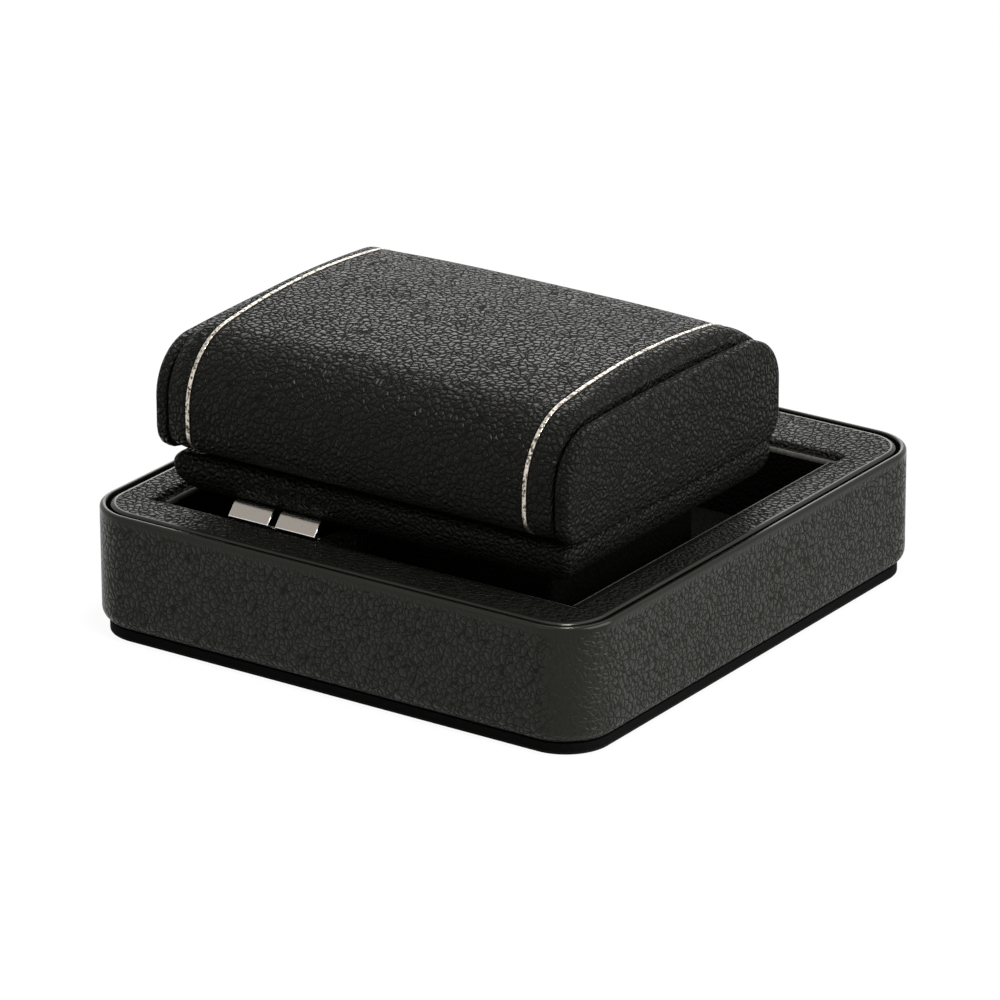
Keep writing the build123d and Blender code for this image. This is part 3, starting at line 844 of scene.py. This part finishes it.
class STAND_OT_rim_panel(StandOperator):
    """Lay the padded leather rim round the well, with its tongue over the slot divider, and paint shade and a
    highlight line onto its roll at the seam
    """
    bl_idname = "watch_stand.rim_panel"
    bl_label = "Rim panel"

    def build(self, context):
        sizes = context.scene.stand_base
        low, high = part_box("rim_leather")
        well_low, well_high = well_corners()
        tongue_low, tongue_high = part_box("divider_lining")
        rim = add_block("rim_panel", low, high)
        choose(rim, "EDGE", upright)
        bevel(sizes.corner_radius - sizes.band_thickness - sizes.seam_width, 20)
        choose(rim, "EDGE", edge_at(z=high.z))
        bevel(sizes.rim_outer_roll, 9)

        def in_opening(c):
            in_tongue = tongue_low.x < c.x < tongue_high.x and c.y < tongue_high.y
            return within(c, well_low, well_high) and not in_tongue

        tongue_lines = [(0, tongue_low.x), (0, tongue_high.x), (1, tongue_high.y)]
        cut_opening(rim, sides_of(well_low, well_high) + tongue_lines, in_opening)
        choose(rim, "EDGE", lambda edge: edge_at(z=high.z)(edge)
               and any(abs(face.normal.z) < 0.1 for face in edge.link_faces))
        bevel(sizes.rim_lip_roll, 4)
        finish_piece(rim, "black_leather", "base", ["rim_leather", "rim_padding"])

        def at_seam(face):
            c = face.calc_center_median()
            beyond = abs(c.x) > (well_high.x + high.x) / 2 or c.y > (well_high.y + high.y) / 2
            return face.normal.z > -0.5 and (beyond or c.y < (well_low.y + low.y) / 2)

        steep, flat = 0.72, 0.997
        # the steeper faces of the rim's roll at the seam get a near-black finish: painted shade in the seam
        coat_faces(rim, "edge_paint", lambda face: at_seam(face) and face.normal.z < steep)
        # the flatter faces of that roll get the lighter copy of the leather: a painted highlight line beside the seam
        coat_faces(rim, "band_leather", lambda face: at_seam(face) and steep < face.normal.z < flat)


class STAND_OT_well_linings(StandOperator):
    """Line the well's walls, its floor and the slot divider"""
    bl_idname = "watch_stand.well_linings"
    bl_label = "Well linings"

    def build(self, context):
        roll = context.scene.stand_base.lining_roll
        inward = {"front_left": ("y", 1), "front_right": ("y", 1), "rear": ("y", -1),
                  "left": ("x", 1), "right": ("x", -1)}
        for side, (axis, sign) in inward.items():
            low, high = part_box(f"well_lining_{side}")
            panel = add_block(f"lining_{side}", low, high)
            place = getattr(high if sign > 0 else low, axis)
            choose(panel, "EDGE", edge_at(**{"z": high.z, axis: place}))
            bevel(roll, 5)
            self.finish_lining(panel, [f"well_lining_{side}"])
        low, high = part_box("well_floor_lining")
        floor = add_block("lining_floor", low, high)
        choose(floor, "EDGE", edge_at(z=high.z))
        bevel(roll, 4)
        self.finish_lining(floor, ["well_floor_lining"])
        low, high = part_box("divider_lining")
        thickness = context.scene.stand_base.rim_leather
        left = add_block("lining_divider", low, (low.x + thickness, high.y, high.z))
        right = add_block("lining_divider_right", (high.x - thickness, low.y, low.z), high)
        for piece, place in ((left, low.x), (right, high.x)):
            choose(piece, "EDGE", edge_at(x=place, z=low.z))
            bevel(roll, 3)
        pick_only(right, left)
        bpy.ops.object.join()
        self.finish_lining(left, ["divider_lining"])

    def finish_lining(self, piece, nodes):
        finish_piece(piece, "lining_leather", "base", nodes)
        if piece.name not in ("lining_floor", "lining_divider"):
            # the rolled top edges of the wall linings get a much lighter colour: a painted highlight line
            wall, top = 0.05, 0.9995
            coat_faces(piece, "worn_edge", lambda face: wall < face.normal.z < top)


class STAND_OT_pedestal(StandOperator):
    """Wrap the pedestal's neck and pad its top"""
    bl_idname = "watch_stand.pedestal"
    bl_label = "Pedestal"

    def build(self, context):
        self.add_neck(context)
        self.add_pad(context)

    def add_neck(self, context):
        sizes = context.scene.stand_base
        low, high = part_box("neck_wrap")
        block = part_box("neck_block")
        wrap = add_block("neck_cover", low, high)
        choose(wrap, "EDGE", upright)
        bevel(sizes.neck_corner, 6)
        cut_opening(wrap, sides_of(*block), lambda c: within(c, *block))
        finish_piece(wrap, "lining_leather", "base", ["neck_wrap"])

    def add_pad(self, context):
        sizes = context.scene.stand_pad
        low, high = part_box("pad_leather")
        widest = high.z - sizes.top_roll
        under = widest - low.z
        half = (high - low) / 2
        middle = (high + low) / 2

        def draw_below(drop):
            return sizes.side_bulge - math.sqrt(sizes.side_bulge ** 2 - drop ** 2)

        rings = [(widest - under * (1 - i / 9), draw_below(under * (1 - i / 9))) for i in range(10)]
        rings += [(widest + sizes.top_roll * sine, sizes.top_roll * (1 - cosine))
                  for sine, cosine in quarter_turn(7)[1:]]
        z, draw = rings[0]
        pad = add_plate("pedestal_pad", (low.x + draw, low.y + draw, z), (high.x - draw, high.y - draw, z))
        choose(pad, "VERT")
        corner_share = 0.6
        bevel(sizes.corner_radius * corner_share, 8, affect="VERTICES")
        choose(pad, "FACE")
        for (z, draw), (next_z, next_draw) in zip(rings, rings[1:]):
            push((0.0, 0.0, next_z - z))
            scale = ((half.x - next_draw) / (half.x - draw), (half.y - next_draw) / (half.y - draw), 1.0)
            bpy.ops.transform.resize(value=scale, center_override=(middle.x, middle.y, next_z))
        finish_piece(pad, "black_leather", "base", ["pad_leather", "pad_foam"])


class STAND_OT_cushion_centre(StandOperator):
    """Cover the middle of the watch cushion, tucked in beside the stripes"""
    bl_idname = "watch_stand.cushion_centre"
    bl_label = "Cushion centre"

    def build(self, context):
        tuck = context.scene.stand_cushion.seam_tuck
        swell = context.scene.stand_cushion.centre_swell
        low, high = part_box("cushion_panel")
        half = high.x - tuck
        stations = [(low.x, tuck), (low.x + tuck * TUCK_STEP, tuck * TUCK_STEP)]
        for i in range(-7, 8):
            share = math.sin(math.pi / 2 * i / 7)
            stations.append((half * share, -swell * (1 - abs(share) ** 3)))
        stations += [(high.x - tuck * TUCK_STEP, tuck * TUCK_STEP), (high.x, tuck)]
        panel = sleeve("cushion_centre", [(x, section_at(0.0, inset)) for x, inset in stations])
        finish_piece(panel, "black_leather", "cushion", ["cushion_panel", "cushion_foam"])


class STAND_OT_stripes(StandOperator):
    """Lay the two silver stripes over the cushion"""
    bl_idname = "watch_stand.stripes"
    bl_label = "Silver stripes"

    def build(self, context):
        sizes = context.scene.stand_cushion
        for side in ("left", "right"):
            low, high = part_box(f"stripe_{side}")
            near, far = low.x + sizes.stripe_gap, high.x - sizes.stripe_gap
            proud, edge = sizes.stripe_proud, sizes.stripe_proud * 1.2
            # one station between foot and top rounds each edge of a stripe
            stations = [(near, sizes.stripe_gap), (near + edge * 0.3, -proud * 0.7), (near + edge, -proud),
                        (far - edge, -proud), (far - edge * 0.3, -proud * 0.7), (far, sizes.stripe_gap)]
            ribbon = sleeve(f"silver_{side}", [(x, section_at(0.0, inset)) for x, inset in stations])
            finish_piece(ribbon, "silver_stripe", "cushion", [f"stripe_{side}"])


class STAND_OT_shoulders(StandOperator):
    """Add the leather shoulders that fall away to the end grooves"""
    bl_idname = "watch_stand.shoulders"
    bl_label = "Shoulders"

    def build(self, context):
        sizes = context.scene.stand_cushion
        tuck, slope, seam = sizes.groove_tuck, sizes.shoulder_slope, sizes.seam_tuck
        for side, sign in (("left", -1), ("right", 1)):
            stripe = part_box(f"stripe_{side}")
            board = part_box(f"end_board_{side}")
            near = (stripe[1] if sign > 0 else stripe[0]).x
            far = (board[0] if sign > 0 else board[1]).x
            span = abs(far - near)
            steps = 9
            stations = [(near, 0.0, seam), (near + sign * seam * TUCK_STEP, 0.0, seam * TUCK_STEP)]
            for i in range(1, steps + 1):
                along = i / steps * (1 - tuck / span)
                share = (1 - math.sqrt(1 - (slope * along) ** 2)) / (1 - math.sqrt(1 - slope ** 2))
                stations.append((near + sign * span * along, share, 0.0))
            last = stations[-1][1]
            stations += [(far - sign * tuck * (1 - sine), last, tuck * (1 - cosine))
                         for sine, cosine in quarter_turn(4)[1:]]
            piece = sleeve(f"shoulder_cover_{side}", [(x, section_at(share, inset)) for x, share, inset in stations])
            finish_piece(piece, "black_leather", "cushion", [f"shoulder_{side}"])


class STAND_OT_end_caps(StandOperator):
    """Pad the two ends of the cushion"""
    bl_idname = "watch_stand.end_caps"
    bl_label = "End caps"

    def build(self, context):
        sizes = context.scene.stand_cushion
        for side, sign in (("left", -1), ("right", 1)):
            low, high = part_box(f"end_cap_{side}")
            near, far = (low.x, high.x) if sign > 0 else (high.x, low.x)
            stations = [(near + sign * sizes.cap_ease * (1 - cosine), sizes.cap_ease * (1 - sine))
                        for sine, cosine in quarter_turn(3)]
            stations += [(far - sign * sizes.cap_roll * (1 - sine), sizes.cap_roll * (1 - cosine))
                         for sine, cosine in quarter_turn(5)]
            cap = sleeve(f"end_pad_{side}", [(x, section_at(1.0, inset, bottom_of="end_cap_right"))
                                             for x, inset in stations])
            choose(cap, "FACE", facing(0, sign, far))
            middle = (low + high) / 2
            share_now = 1.0
            ring_shares = (0.93, 0.84, 0.7, 0.5, 0.25)
            for share in ring_shares:
                rise = sizes.cap_bulge * (share_now ** 4 - share ** 4)
                push((sign * rise, 0.0, 0.0))
                scale = share / share_now
                bpy.ops.transform.resize(value=(1.0, scale, scale), center_override=(far, middle.y, middle.z))
                share_now = share
            finish_piece(cap, "black_leather", "cushion", [f"end_cap_{side}"])


class STAND_OT_cufflinks(StandOperator):
    """Shape the cufflinks' faces, which slope away at the rear: satin faces whose colour is dimmed as a painted
    reflection, with bright polished edges
    """
    bl_idname = "watch_stand.cufflinks"
    bl_label = "Cufflink faces"

    def build(self, context):
        for side in ("left", "right"):
            face = self.face_block(side)
            finish_piece(face, "polished_chrome", f"cufflink_{side}", [f"cufflink_face_{side}"],
                         finish="satin_chrome")
            # the broad faces keep the dimmed chrome as a painted reflection; the small edge faces get the bright
            # chrome and read as highlight lines
            limit = context.scene.stand_cufflinks.polish_limit ** 2
            coat_faces(face, "polished_chrome", lambda part: part.calc_area() < limit)

    def face_block(self, side):
        sizes = bpy.context.scene.stand_cufflinks
        low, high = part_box(f"cufflink_face_{side}")
        end = sizes.height / 2
        pick_only()
        bpy.ops.mesh.primitive_cube_add(size=1, location=(0.0, 0.0, -sizes.thickness / 2))
        bpy.context.object.scale = (high.x - low.x, sizes.height, sizes.thickness)
        face = named(f"cufflink_plate_{side}")
        choose(face, "FACE")
        bpy.ops.mesh.bisect(plane_co=(0.0, sizes.bend, 0.0), plane_no=(0.0, 1.0, 0.0))
        for y, drop in ((end, sizes.fall), (-end, sizes.lean)):
            choose(face, "EDGE", edge_at(y=y, z=0.0))
            bpy.ops.transform.translate(value=(0.0, 0.0, -drop))
        choose(face, "EDGE", lambda edge: any(abs(f.normal.x) > 0.9 for f in edge.link_faces)
               and any(abs(f.normal.x) < 0.1 for f in edge.link_faces))
        bevel(sizes.side_bevel, 3)
        choose(face, "EDGE", lambda edge: abs(edge.verts[0].co.x - edge.verts[1].co.x) > sizes.height
               and all(same(abs(v.co.y), end) for v in edge.verts))
        bevel(sizes.long_bevel, 3)
        object_mode()
        turn = Matrix.Rotation(sizes.tilt, 4, "X")
        middle = turn @ Vector((0.0, 0.0, -sizes.thickness / 2))
        face.data.transform(Matrix.Translation((low + high) / 2 - middle) @ turn)
        return face


class STAND_PT_panel(Panel):
    """The stand's operators and sizes in the sidebar"""
    bl_idname = "STAND_PT_panel"
    bl_label = "Watch Stand"
    bl_space_type = "VIEW_3D"
    bl_region_type = "UI"
    bl_category = "Watch Stand"

    def draw(self, context):
        for operator in OPERATORS:
            self.layout.operator(operator.bl_idname)
        for name in GROUPS:
            group = getattr(context.scene, name)
            box = self.layout.box()
            for setting in group.__annotations__:
                box.prop(group, setting)


GROUPS = {"stand_base": StandBaseSizes, "stand_pad": StandPadSizes, "stand_cushion": StandCushionSizes,
          "stand_cufflinks": StandCufflinkSizes, "stand_finishes": StandFinishes}
OPERATORS = (STAND_OT_stage, STAND_OT_fittings, STAND_OT_felt, STAND_OT_side_band, STAND_OT_rim_panel,
             STAND_OT_well_linings, STAND_OT_pedestal, STAND_OT_cushion_centre, STAND_OT_stripes,
             STAND_OT_shoulders, STAND_OT_end_caps, STAND_OT_cufflinks)


def register():
    for item in (*GROUPS.values(), *OPERATORS, STAND_PT_panel):
        bpy.utils.register_class(item)
    for name, group in GROUPS.items():
        setattr(bpy.types.Scene, name, PointerProperty(type=group))


def unregister():
    for name in GROUPS:
        delattr(bpy.types.Scene, name)
    for item in reversed((*GROUPS.values(), *OPERATORS, STAND_PT_panel)):
        bpy.utils.unregister_class(item)


def main():
    register()
    for operator in OPERATORS:
        group, name = operator.bl_idname.split(".")
        getattr(getattr(bpy.ops, group), name)()


if __name__ == "__main__":
    main()
